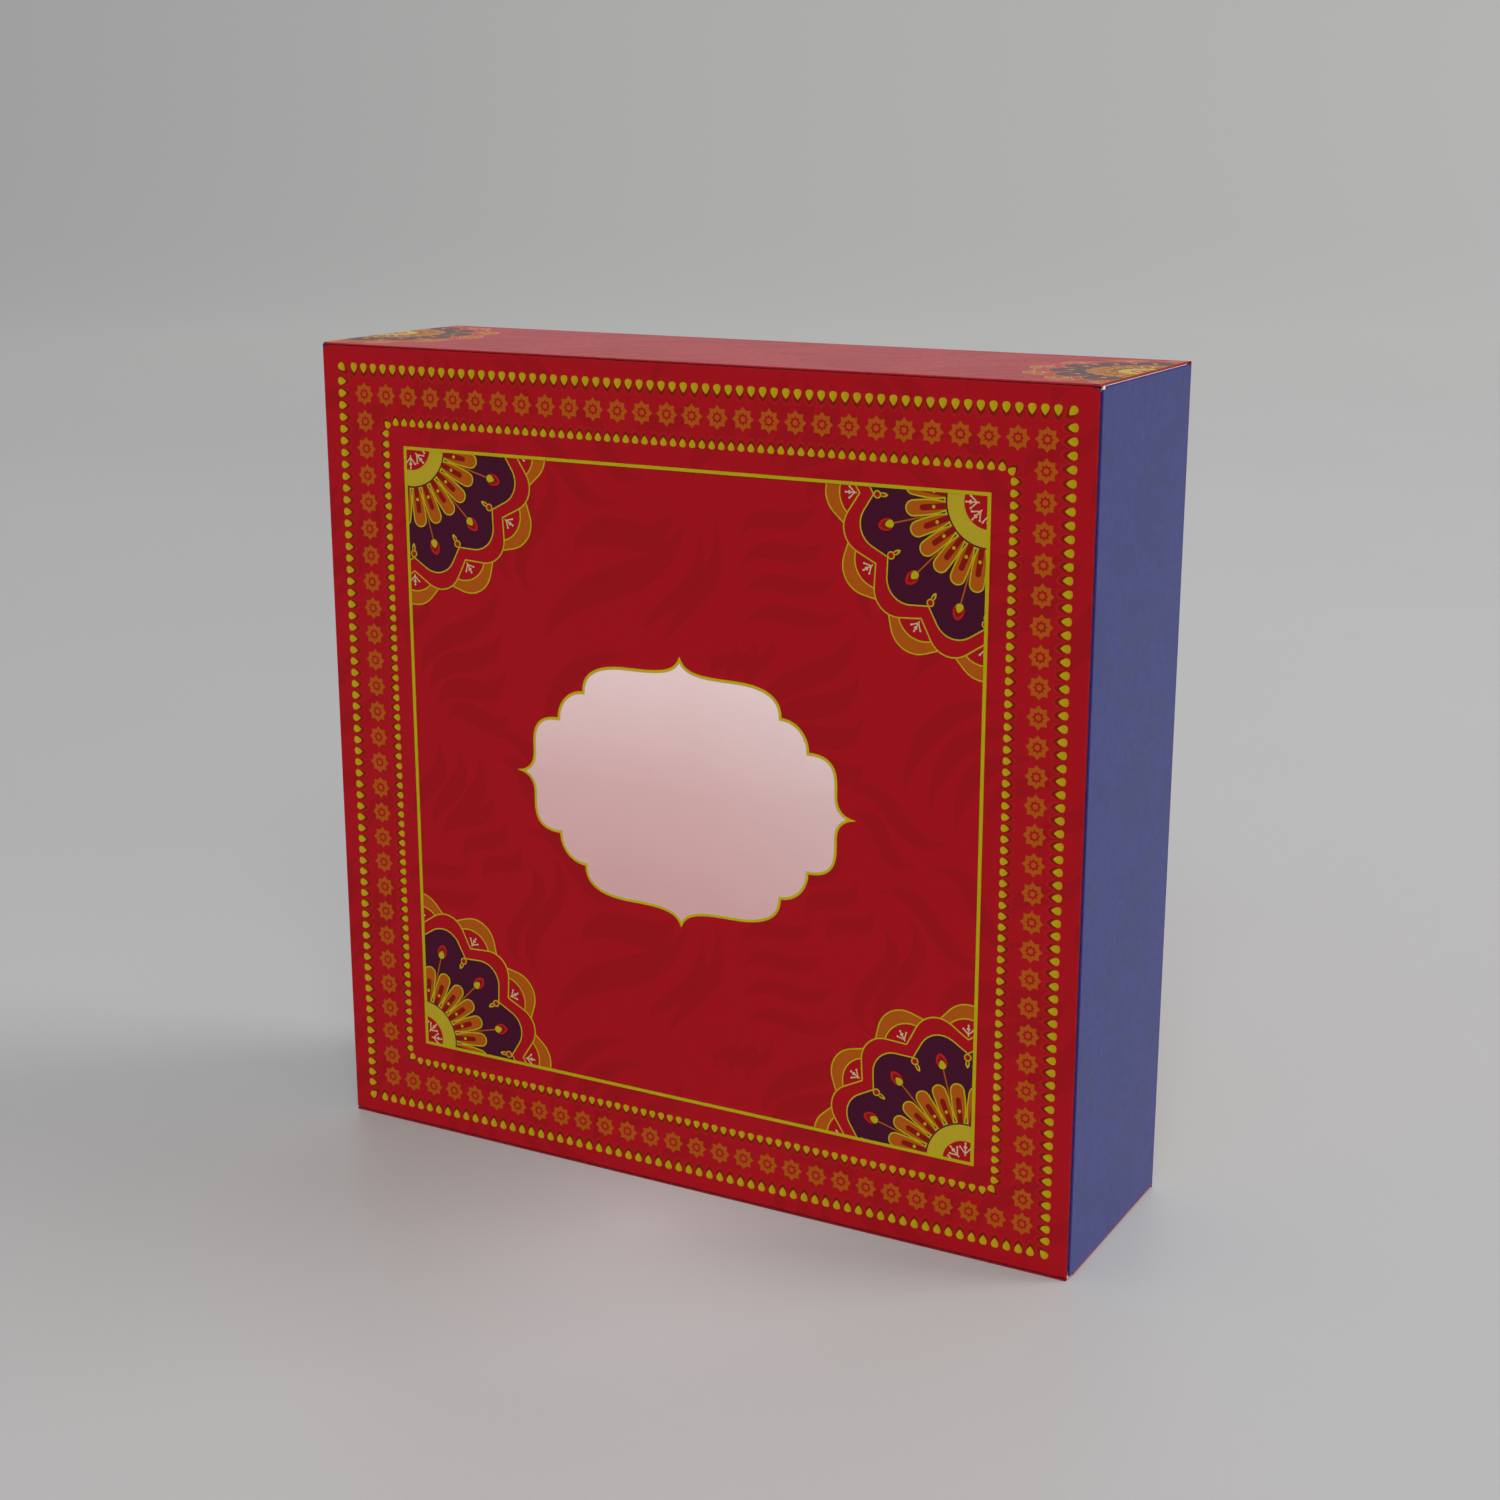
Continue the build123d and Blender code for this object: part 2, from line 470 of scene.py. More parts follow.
@dataclass(frozen=True)
class FloorFinish:
    """Seamless grey paper of the studio floor and backdrop.

    Its grey deepens to the left of the room and into the distance, as painted
    shade, and a painted pool of light makes it lighter just in front of the box.
    What the camera sees of the far part is an even grey that glows, painted
    light that pales to the right and a little towards the box.
    """

    title: str = "studio_paper"
    colour: Triple = (165, 164, 164)
    rightward: Triple = (0.876, 0.482, 0.0)
    backward: Triple = (-0.482, 0.876, 0.0)
    painted_light_pool_middle: Triple = (0.0, -0.05, 0.0)
    far_greys: tuple[tuple[float, Triple], ...] = (
        (0.0, (159, 159, 159)), (0.45, (171, 171, 170)), (1.0, (180, 180, 179))
    )

    def material(self) -> bpy.types.Material:
        """Builds the paper: painted shade and a painted pool of light on it, and far off a
        glowing grey, painted light, for the camera.
        """
        bench = Surface(self.title)
        across = bench.vector("DOT_PRODUCT", bench.place(), self.rightward)
        away = bench.vector("DOT_PRODUCT", bench.place(), self.backward)
        reach = bench.vector("LENGTH", bench.place(), (0, 0, 0))
        patch = bench.vector("DISTANCE", bench.place(), self.painted_light_pool_middle)

        # painted shade: darker to the left and into the distance, and more so on the left
        # further back
        shade = 0.86 + 0.14 * ((across + 1.3) / 1.8).held()
        shade = shade * (1.0 - 0.14 * (away / 3.0).held())
        left = ((0.05 - across) / 0.2).held()
        shade = shade * (1.0 - left * (0.04 + 0.07 * ((away - 0.08) / 0.2).held()))
        # painted pool of light on the paper just in front of the box
        near, wide = (1.0 - patch / 0.09).held(), (1.0 - patch / 0.3).held()
        shade = shade * (1.0 + 0.4 * near * near + 0.08 * wide * (1.0 - left))
        paper = bench.surface(
            Base_Color=bench.shaded(
                linear(self.colour), shade * bench.noise(0.4, 0.985, 1.015)
            ),
            Roughness=bench.noise(0.3, 0.42, 0.48),
            Normal=bench.bump(bench.noise(0.0008, 0.0, 1.0), 0.000005),
            Specular_IOR_Level=0.3,
        )

        # painted light: far off the paper glows, in a grey that pales to the right and a
        # little towards the box
        stops = [(place, linear(grey)) for place, grey in self.far_greys]
        grey = bench.add(
            "ShaderNodeValToRGB", {"stops": stops}, {"Fac": (across + 1.24) / 2.48}, "Color"
        )
        glow = bench.shaded(grey, 1.0 + 0.115 * ((3.3 - reach) / 1.5).held())
        even = bench.surface(
            Base_Color=(0.0, 0.0, 0.0, 1.0), Roughness=1.0, Specular_IOR_Level=0.0,
            Emission_Color=glow, Emission_Strength=1.0,
        )
        far = ((reach - 1.5) / 1.0).held() * bench.ray("Is Camera Ray")
        bench.finish(bench.blend(far, paper, even))
        return bench.material


# Outlines, in mm


def disc(radius: float, count: int = 24) -> np.ndarray:
    """Circle outline: radius times the cosine and sine of even angles."""
    angle = np.linspace(0.0, 2 * np.pi, count, endpoint=False)
    return radius * np.stack([np.cos(angle), np.sin(angle)], -1)


def drop(width: float, length: float, point: float = 1.0, count: int = 18) -> np.ndarray:
    """Teardrop with its round end at nought and its tip at length.

    Args:
        width: Greatest width.
        length: Length along the axis.
        point: How pointed the tip is: one is a straight cone, nought an oval.
        count: Points round the outline.

    Returns:
        (lateral, axial) points. Formula: the lateral part is the sine of the
        angle times the sine of its half to the power point, scaled to the
        width, and the axial part is the cosine of the angle.
    """
    angle = np.linspace(0.0, 2 * np.pi, count, endpoint=False)
    side = np.sin(angle) * np.abs(np.sin(angle / 2)) ** point
    side = np.sign(side) * np.abs(side / np.abs(side).max()) ** 0.86
    return np.stack([side * width / 2, (1 + np.cos(angle)) * length / 2], -1)


def star(tip: float, valley: float, points: int = 8) -> np.ndarray:
    """Star whose sides curve in between its points.

    Args:
        tip: Radius at the points.
        valley: Radius between them.
        points: Number of points.

    Returns:
        (lateral, axial) points. Formula: the radius falls from tip to valley
        as the 1.7th power of the share of the way to the valley left to go.
    """
    steps = np.array([0.0, 0.28, 0.6, 1.0, 1.4, 1.72])
    share = (np.arange(points)[:, None] + steps[None, :] / 2).ravel()
    left = np.abs(1.0 - 2 * (share % 1.0))
    radius = valley + (tip - valley) * left**1.7
    angle = share * 2 * np.pi / points
    return np.stack([radius * np.sin(angle), radius * np.cos(angle)], -1)


def bar(half: float, start: float, end: float, taper: float = 1.0) -> np.ndarray:
    """Bar along the axis with a round far end.

    Args:
        half: Half width at the far end.
        start: Axial place of its square end.
        end: Axial place of its round end.
        taper: Half width at the start as a share of half.

    Returns:
        (lateral, axial) points: the square end, then a half circle of radius
        half about a centre that lies half short of the end.
    """
    angle = np.linspace(0.0, np.pi, 7)
    cap = np.stack([half * np.cos(angle), end - half + half * np.sin(angle)], -1)
    foot = np.array([[-half * taper, start], [half * taper, start]])
    return np.concatenate([foot, cap])


def line(start: Triple | tuple, end: Triple | tuple, width: float) -> np.ndarray:
    """Straight stroke between two places: each end moved sideways by half."""
    first, last = np.asarray(start, float), np.asarray(end, float)
    along = (last - first) / np.linalg.norm(last - first)
    side = np.array([-along[1], along[0]]) * width / 2
    return np.array([first + side, last + side, last - side, first - side])


def turned(outline: np.ndarray, degrees: np.ndarray | float) -> np.ndarray:
    """Turns (lateral, axial) outlines to point along directions on a face.

    Args:
        outline: Points, n by 2.
        degrees: One direction or k of them, from across towards down.

    Returns:
        n by 2, or k by n by 2. Formula: axial times the direction plus
        lateral times the direction turned by a right angle.
    """
    angle = np.radians(np.asarray(degrees, float))[..., None]
    lateral, axial = outline[:, 0], outline[:, 1]
    across = axial * np.cos(angle) - lateral * np.sin(angle)
    down = axial * np.sin(angle) + lateral * np.cos(angle)
    return np.stack([across, down], -1)


def rectangle(window: Window) -> np.ndarray:
    """Outline of a window given as left, top, right and bottom."""
    left, top, right, bottom = window
    return np.array([[left, top], [right, top], [right, bottom], [left, bottom]], float)


def clipped(
    outline: np.ndarray, tone: np.ndarray, window: Window
) -> tuple[np.ndarray, np.ndarray]:
    """Cuts a closed outline to a window, one straight side at a time.

    Args:
        outline: Points, n by 2.
        tone: The tone at each point.
        window: Left, top, right and bottom.

    Returns:
        The outline and tones left inside. Formula: each point inside is kept,
        and where an edge crosses a side, the point on it at the share d over
        d less the next d is added, d being the distance inside.
    """
    for axis, limit, sign in (
        (0, window[0], 1), (1, window[1], 1), (0, window[2], -1), (1, window[3], -1)
    ):
        if len(outline) < 3:
            break
        inside = sign * (outline[:, axis] - limit)
        after = np.roll(inside, -1)
        kept, crossing = inside >= 0, (inside >= 0) != (after >= 0)
        if kept.all():
            continue
        gap = np.where(crossing, inside - after, 1.0)
        share = np.where(crossing, inside / gap, 0.0)
        met = outline + share[:, None] * (np.roll(outline, -1, 0) - outline)
        met_tone = tone + share * (np.roll(tone, -1) - tone)
        keep = np.stack([kept, crossing], 1).ravel()
        outline = np.stack([outline, met], 1).reshape(-1, 2)[keep]
        tone = np.stack([tone, met_tone], 1).ravel()[keep]
    if len(outline) > 2:
        apart = np.linalg.norm(outline - np.roll(outline, -1, 0), axis=1) > 1e-4
        outline, tone = outline[apart], tone[apart]
    return outline, tone


def moved_in(outline: np.ndarray, amount: float) -> np.ndarray:
    """Moves an open curve sideways by an amount, with mitred corners.

    Args:
        outline: Points, n by 2.
        amount: Distance to the curve's right, seen with down as down.

    Returns:
        The moved points. Formula: each point moves along the sum of its two
        edges' normals, divided by one plus the cosine between them.
    """
    step = np.diff(outline, axis=0)
    step /= np.linalg.norm(step, axis=1)[:, None]
    normal = np.stack([-step[:, 1], step[:, 0]], -1)
    before = np.concatenate([normal[:1], normal])
    after = np.concatenate([normal, normal[-1:]])
    spread = 1.0 + (before * after).sum(1)
    return outline + amount * (before + after) / spread[:, None]


# Faces and print


@dataclass(frozen=True)
class Face:
    """A flat face that takes print, with the part of it that may be printed."""

    title: str
    body: str
    slot: str
    corner: Triple
    across: Triple
    down: Triple
    window: Window

    def placed(self, flat: np.ndarray, height: np.ndarray) -> np.ndarray:
        """Puts places on the face into the box's frame.

        Args:
            flat: (across, down) in millimetres, n by 2.
            height: Height above the face in millimetres, n.

        Returns:
            n by 3 in metres: corner plus across, down and outward parts, where
            outward is across times the opposite of down.
        """
        across, down = np.array(self.across), np.array(self.down)
        outward = np.cross(across, -down)
        parts = flat[:, :1] * across + flat[:, 1:] * down + height[:, None] * outward
        return np.array(self.corner) + parts * MM


@dataclass
class PrintRun:
    """The print on one face, gathered by ink and built as closed patches."""

    face: Face
    patches: dict[Ink, list[tuple[np.ndarray, np.ndarray, float]]] = field(
        default_factory=dict
    )

    def lay(
        self,
        ink: Ink,
        outlines: np.ndarray,
        layer: float,
        window: Window | None = None,
        tone: np.ndarray | None = None,
    ) -> None:
        """Adds one closed outline, or several of the same count of points.

        The window is drawn in a little more for each higher layer, so that cut
        edges form a fine stair and never share a plane.

        Args:
            ink: The ink they are printed in.
            outlines: n by 2, or k by n by 2, in millimetres on the face.
            layer: Height of their tops, in layers of ink.
            window: What they are cut to; the face's own window if left out.
            tone: Tones by point, or nought everywhere if left out.
        """
        step = CUT_STEP * layer
        left, top, right, bottom = window or self.face.window
        window = (left + step, top + step, right - step, bottom - step)
        several = outlines if outlines.ndim == 3 else outlines[None]
        tones = np.zeros(several.shape[:2]) if tone is None else np.broadcast_to(
            tone, several.shape[:2]
        )
        for outline, shades in zip(several, tones):
            cut, cut_shades = clipped(outline, shades, window)
            if len(cut) < 3:
                continue
            ahead = np.roll(cut, -1, 0)
            area = (cut[:, 0] * ahead[:, 1] - ahead[:, 0] * cut[:, 1]).sum() / 2
            if abs(area) < 1e-3:
                continue
            turn = -1 if area > 0 else 1
            patch = (cut[::turn], cut_shades[::turn], layer)
            self.patches.setdefault(ink, []).append(patch)

    def build(self, materials: dict[Ink, bpy.types.Material]) -> None:
        """Builds one piece for each ink: a top, a foot and a rim per patch."""
        for ink, patches in self.patches.items():
            points, tones, faces, start = [], [], [], 0
            for flat, shades, layer in patches:
                count = len(flat)
                top = np.full(count, layer * LAYER)
                points += [
                    self.face.placed(flat, top), self.face.placed(flat, np.zeros(count))
                ]
                tones += [shades, shades]
                upper = start + np.arange(count)
                lower = upper + count
                rim = np.stack(
                    [lower, np.roll(lower, -1), np.roll(upper, -1), upper], 1
                )
                faces += [upper.tolist(), lower[::-1].tolist(), *rim.tolist()]
                start += 2 * count
            make_piece(
                f"{self.face.title}_{ink.value.title}",
                np.concatenate(points),
                faces,
                materials[ink],
                self.face.body,
                np.concatenate(tones),
            )


def make_piece(
    title: str,
    points: np.ndarray,
    faces: list[list[int]],
    material: bpy.types.Material,
    body: str,
    tone: np.ndarray | None = None,
) -> bpy.types.Object:
    """Makes a mesh object, dresses it and lets it ride on a body.

    Args:
        title: The piece's name.
        points: Corners in metres, n by 3.
        faces: Corner numbers of each face.
        material: Its finish.
        body: The body that it moves with.
        tone: Values of the tone attribute, if the finish reads it.

    Returns:
        The new object.
    """
    mesh = bpy.data.meshes.new(title)
    mesh.from_pydata(points.tolist(), [], faces)
    if tone is not None:
        shade = mesh.attributes.new("tone", "FLOAT", "POINT")
        shade.data.foreach_set("value", np.ascontiguousarray(tone, np.float32))
    mesh.materials.append(material)
    mesh.update()
    piece = bpy.data.objects.new(title, mesh)
    bpy.context.scene.collection.objects.link(piece)
    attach(piece, body)
    log.info("%s: %d faces on %s", title, len(faces), body)
    return piece


# Ornament classes


@dataclass(frozen=True)
class Spray:
    """Leaves side by side, in even steps from a first leaf to a last one.

    A leaf runs from a root to a point, across and down in millimetres. bow is
    the sideways pull that sways it one way near its root and the other way
    near its point, and bulge the pull that curves it one way all along.
    """

    first_root: tuple[float, float]
    first_point: tuple[float, float]
    last_root: tuple[float, float]
    last_point: tuple[float, float]
    count: int
    width: float
    bow: float
    bulge: float = 0.0

    def outlines(self, steps: int = 13) -> np.ndarray:
        """Outlines of the spray's leaves.

        Args:
            steps: Points along each edge of a leaf.

        Returns:
            Leaves by points by 2. Formula: along the chord from root to point
            each edge lies sideways by a cubic that is nought at both ends, with
            bow and less bow, the bulge, and two thirds of the width either way
            as its inner weights.
        """
        order = np.linspace(0.0, 1.0, self.count)[:, None]
        root = (1 - order) * np.array(self.first_root) + order * self.last_root
        point = (1 - order) * np.array(self.first_point) + order * self.last_point
        chord = point - root
        ahead = chord / np.linalg.norm(chord, axis=1)[:, None]
        side = np.stack([-ahead[:, 1], ahead[:, 0]], -1)
        share = np.linspace(0.0, 1.0, steps)
        sway = 3 * (1 - share) * share * ((1 - 2 * share) * self.bow + self.bulge)
        half = 3 * (1 - share) * share * self.width * 2 / 3
        edges = []
        for along, pull in ((share, sway + half), (share[-2:0:-1], (sway - half)[-2:0:-1])):
            middle = root[:, None] + chord[:, None] * along[None, :, None]
            edges.append(middle + side[:, None] * pull[None, :, None])
        return np.concatenate(edges, 1)


@dataclass(frozen=True)
class LeafGround:
    """Tone-on-tone ground of leaf sprays, repeated in both directions."""

    repeat: tuple[float, float] = (95.4, 96.0)
    rise: float = 0.01
    sprays: tuple[Spray, ...] = (
        Spray((99, 34), (71, 46), (102, 36), (63, 67), 2, 8.0, -10),
        Spray((105, 37), (90, 62), (109, 34), (96, 64), 2, 4.5, -5, -6),
        Spray((135, 29), (116, 38), (143, 52), (117, 58), 4, 4.5, -7),
        Spray((115, 62), (109, 71), (124, 60), (118, 73), 3, 3.5, -5),
        Spray((145, 56), (122, 80), (148, 86), (129, 91), 4, 6.0, -9),
        Spray((56, 27), (55, 55), (63, 24), (60, 57), 2, 5.0, -14),
        Spray((126, 96), (118, 116), (138, 98), (130, 119), 3, 5.0, -5, -3),
        Spray((181, 68), (157, 92), (188, 80), (170, 99), 3, 5.0, 0, 8),
        Spray((143, 93), (168, 102), (144, 99), (161, 108), 2, 5.0, -9),
        Spray((151, 116), (180, 128), (164, 109), (187, 122), 2, 5.0, -12),
        Spray((142, 108), (127, 121), (150, 120), (139, 130), 3, 5.0, -7),
        Spray((100, 76), (82, 96), (108, 84), (94, 102), 2, 5.0, -7),
        Spray((104, 104), (88, 116), (114, 106), (104, 122), 2, 5.0, -6),
    )

    def outlines(self) -> np.ndarray:
        """Outlines of one repeat's leaves, in millimetres."""
        return np.concatenate([spray.outlines() for spray in self.sprays])

    def draw(
        self, run: PrintRun, ink: Ink, start: tuple[float, float], upturned: bool = False
    ) -> None:
        """Covers a face's window with leaves, each one rise above the last.

        Args:
            run: The face's print.
            ink: The leaf ink.
            start: Place on the face of one repeat's upper left corner.
            upturned: Whether the ground is turned over from top to bottom.
        """
        leaves = self.outlines()
        if upturned:
            leaves = leaves * np.array([1.0, -1.0])
        wide, high = self.repeat
        left, top, right, bottom = run.face.window
        shade = np.linspace(0.0, 1.0, leaves.shape[1])
        for column in range(-3, 5):
            for row in range(-3, 5):
                shift = np.array([start[0] + column * wide, start[1] + row * high])
                for order, leaf in enumerate(leaves + shift):
                    low, tall = leaf.min(0), leaf.max(0)
                    if (low < (right, bottom)).all() and (tall > (left, top)).all():
                        run.lay(ink, leaf, LEAF_LAYER + order * self.rise, tone=shade)


@dataclass(frozen=True)
class PetalRow:
    """A row of gold petals along all four sides, each on two red shadows.

    base and tip are the distances from the edge of a petal's round end and
    its point, and the two shadows reach to dark_tip and rim_tip. The lower
    row and its corners stand lower by sink.
    """

    base: tuple[float, float]
    tip: float
    dark_tip: float
    rim_tip: float
    width: float
    rim_width: float
    first: tuple[float, float]
    spacing: tuple[float, float]
    corner: tuple[float, float]
    sink: float
    count: int = 64
    side: float = 200.0

    def draw(self, run: PrintRun) -> None:
        """Lays the petals of the four sides and the four corners."""
        inward = 1.0 if self.tip > self.base[0] else -1.0
        length = abs(self.tip - self.base[0])
        dark = abs(self.dark_tip - self.base[0])
        rim = abs(self.rim_tip - self.base[0])
        places, angles = self._places(inward, length)
        layers = (
            (Ink.PETAL_RED, drop(self.rim_width, rim - 0.1, 0.25), 0.1, 2),
            (Ink.DEEP_RED, drop(self.width + 0.35, dark - 0.15, 0.6), 0.15, 3),
            (Ink.GOLD, drop(self.width, length), 0.0, 4),
        )
        for ink, outline, lift, layer in layers:
            shape = turned(outline + (0.0, lift), angles) + places[:, None]
            slant = turned(outline, angles)[..., 0]
            low, high = slant.min(1)[:, None], slant.max(1)[:, None]
            tone = (slant - low) / (high - low)
            run.lay(ink, shape[:-4], layer, tone=tone[:-4])
            run.lay(ink, shape[-4:], layer + 0.5, tone=tone[-4:])

    def _places(self, inward: float, length: float) -> tuple[np.ndarray, np.ndarray]:
        """Round ends and directions of every petal.

        Args:
            inward: One if the points look to the middle, else minus one.
            length: A petal's length.

        Returns:
            k by 2 places and k directions in degrees. The rows are even steps
            from the first place, and the right and lower rows mirror them.
        """
        steps = np.arange(self.count)
        row = self.first[0] + self.spacing[0] * steps
        column = self.first[1] + self.spacing[1] * steps
        flat_row, flat_column = np.full(self.count, self.base[0]), np.full(
            self.count, self.base[1]
        )
        far_row = self.side - flat_row + self.sink
        far_column = self.side - flat_column
        places = np.concatenate([
            np.stack([row, flat_row], 1), np.stack([row, far_row], 1),
            np.stack([flat_column, column], 1), np.stack([far_column, column], 1),
        ])
        down, right = (90.0, 0.0) if inward > 0 else (270.0, 180.0)
        angles = np.repeat([down, 360 - down, right, 180 - right], self.count)
        slants = np.array([45.0, 135.0, -45.0, -135.0]) + (0 if inward > 0 else 180)
        near, low = self.corner
        far, foot = self.side - near, self.side - low + self.sink
        middles = np.array([[near, low], [far, low], [near, foot], [far, foot]])
        back = np.radians(slants)
        ends = middles - length / 2 * np.stack([np.cos(back), np.sin(back)], 1)
        return np.concatenate([places, ends]), np.concatenate([angles, slants])


@dataclass(frozen=True)
class StarRow:
    """A row of eight-pointed flowers along all four sides."""

    first: tuple[float, float] = (12.5, 11.85)
    spacing: tuple[float, float] = (6.516, 6.563)
    last_down: float = 188.43
    count: int = 28
    tip: float = 2.75
    valley: float = 2.02
    eye_tip: float = 1.45
    eye_valley: float = 1.0
    seed: float = 0.62

    def draw(self, run: PrintRun) -> None:
        """Lays the flowers, their red eyes and the seed in each."""
        row = self.first[0] + self.spacing[0] * np.arange(self.count)
        column = self.first[1] + self.spacing[1] * np.arange(self.count)
        column[-1] = self.last_down
        ends = np.full(self.count, row[-1]), np.full(self.count, column[-1])
        starts = np.full(self.count, row[0]), np.full(self.count, column[0])
        places = np.concatenate([
            np.stack([row, starts[1]], 1), np.stack([row, ends[1]], 1),
            np.stack([starts[0], column], 1)[1:-1], np.stack([ends[0], column], 1)[1:-1],
        ])[:, None]
        run.lay(Ink.ORANGE, star(self.tip, self.valley) + places, 2)
        run.lay(Ink.RED, star(self.eye_tip, self.eye_valley) + places, 3)
        run.lay(Ink.ORANGE, disc(self.seed, 12) + places, 4)


@dataclass(frozen=True)
class GoldFrame:
    """The thin gold square round the middle field."""

    outer: Window = (23.75, 23.7, 176.35, 177.0)
    upright: float = 0.8
    level: float = 0.75
    layer: int = 15

    def field(self) -> Window:
        """The window inside the lines."""
        left, top, right, bottom = self.outer
        return (
            left + self.upright, top + self.level, right - self.upright, bottom - self.level
        )

    def under(self) -> Window:
        """The window that ends half way under the lines."""
        inner = self.field()
        return tuple((far + near) / 2 for far, near in zip(self.outer, inner))

    def draw(self, run: PrintRun) -> None:
        """Lays the four lines, mitred at the corners."""
        outside, inside = rectangle(self.outer), rectangle(self.field())
        for side in range(4):
            after = (side + 1) % 4
            outline = np.array(
                [outside[side], outside[after], inside[after], inside[side]]
            )
            run.lay(Ink.GOLD, outline, self.layer, tone=np.full(4, 0.2))


@dataclass(frozen=True)
class Lobes:
    """One scalloped ring: round crowns joined by straight flanks at cusps."""

    crown: float
    cusp: float
    radius: float
    turn: float

    def outline(self, grow: float, count: int = 12) -> np.ndarray:
        """The closed ring, made larger by grow.

        Args:
            grow: Distance that the whole outline moves out.
            count: Number of lobes.

        Returns:
            (across, down) points about the middle. Formula: each lobe is an
            arc about a centre one radius below its crown, and the flanks are
            its end tangents, which meet the next lobe's at the cusp.
        """
        half = 180.0 / count
        swing = np.radians(np.linspace(-self.turn, self.turn, 9))
        size = self.radius + grow
        arc = np.stack(
            [size * np.sin(swing), self.crown - self.radius + size * np.cos(swing)], -1
        )
        reach = self.cusp + grow / math.sin(math.radians(90 + half - self.turn))
        edge = math.radians(half)
        cusp = np.array([[reach * math.sin(edge), reach * math.cos(edge)]])
        lobe = np.concatenate([arc, cusp])
        angles = half + 2 * half * np.arange(count)
        return turned(lobe, angles).reshape(-1, 2)


@dataclass(frozen=True)
class Mandala:
    """A twelve-lobed rosette, cut to a window; sizes are at full scale."""

    scale: float = 1.0
    edge: float = 0.15
    core: float = 5.67
    ring: float = 9.57
    field: Lobes = Lobes(30.9, 26.9, 5.5, 45.0)
    band: Lobes = Lobes(35.05, 30.25, 5.87, 48.5)
    fan_radius: float = 6.4
    fan_middle: float = 32.1
    fan_turn: float = 47.9
    eye_radius: float = 6.35
    eye_middle: float = 28.8
    fan_reach: float = 7.5
    fan_foot: float = 29.5

    def draw(self, run: PrintRun, middle: tuple[float, float], window: Window) -> None:
        """Lays the rosette from its outer fans to its core.

        Args:
            run: The face's print.
            middle: Place of its middle on the face.
            window: What it is cut to.
        """
        cusps, crowns = 30.0 * np.arange(12), 30.0 * np.arange(12) + 15.0
        roots, gaps = 15.0 * np.arange(24) + 7.5, 15.0 * np.arange(24)

        def lay(ink: Ink, outline: np.ndarray, layer: int, angles: object = None) -> None:
            """Scales an outline, repeats it round the middle and lays it."""
            shape = outline if angles is None else turned(outline, angles)
            run.lay(ink, shape * self.scale + middle, layer, window)

        self._lay_fans(lay, cusps)
        lay(Ink.GOLD, self.band.outline(self.edge), 6)
        lay(Ink.RED, self.band.outline(-self.edge), 7)
        lay(Ink.GOLD, self.field.outline(self.edge), 8)
        lay(Ink.AUBERGINE, self.field.outline(-self.edge), 9)
        self._lay_buds(lay, crowns)
        self._lay_beads(lay, cusps)
        self._lay_fingers(lay, roots, gaps)
        lay(Ink.OLIVE, disc(self.ring, 64), 10)
        lay(Ink.RED, disc(self.core, 48), 11)
        for rise, stroke in enumerate(self.sprig(2.1, 3.1, 1.0)):
            lay(Ink.CREAM, stroke, 12 + 0.3 * rise, 45.0 * np.arange(8))

    def _lay_fans(self, lay: object, cusps: np.ndarray) -> None:
        """Lays the fans behind the band: orange, edged, with a red eye."""
        swing = np.radians(np.linspace(-self.fan_turn, self.fan_turn, 11))
        slope = math.tan(math.radians(self.fan_turn))
        for ink, grow, layer in ((Ink.GOLD, self.edge, 2), (Ink.ORANGE, -self.edge, 3)):
            size = self.fan_radius + grow
            arc = np.stack(
                [size * np.sin(swing), self.fan_middle + size * np.cos(swing)], -1
            )
            reach = self.fan_reach
            fall = arc[0, 1] - (reach + arc[0, 0]) * slope
            foot = np.array([[reach, fall], [0.0, self.fan_foot], [-reach, fall]])
            lay(ink, np.concatenate([arc, foot]), layer, cusps)
        shift = np.array([0.0, self.eye_middle])
        lay(Ink.GOLD, disc(self.eye_radius + self.edge, 32) + shift, 4, cusps)
        lay(Ink.RED, disc(self.eye_radius - self.edge, 32) + shift, 5, cusps)
        for rise, stroke in enumerate(self.sprig(31.0, 2.6, 0.95)):
            lay(Ink.CREAM, stroke, 6 + 0.3 * rise, cusps)

    def _lay_buds(self, lay: object, crowns: np.ndarray) -> None:
        """Lays the long-stemmed buds in the aubergine field."""
        lay(Ink.ORANGE, line((0.0, 15.5), (0.0, 23.6), 0.32), 10, crowns)
        lay(Ink.BUD_RED, drop(2.75, 3.65, 0.35) + (0.0, 22.95), 11, crowns)
        lay(Ink.DEEP_RED, drop(2.0, 2.95, 0.8) + (0.0, 23.1), 12, crowns)
        lay(Ink.GOLD, drop(1.72, 2.1, 0.7) + (0.0, 22.8), 13, crowns)

    def _lay_beads(self, lay: object, cusps: np.ndarray) -> None:
        """Lays the bead and small flame at each cusp of the field."""
        lay(Ink.GOLD, drop(1.05, -1.9, 0.6) + (0.0, 25.3), 10, cusps)
        lay(Ink.RED, drop(0.5, -1.2, 0.6) + (0.0, 25.2), 11, cusps)
        lay(Ink.GOLD, disc(0.92, 16) + (0.0, 26.0), 12, cusps)
        lay(Ink.RED, disc(0.64, 16) + (0.0, 26.0), 13, cusps)

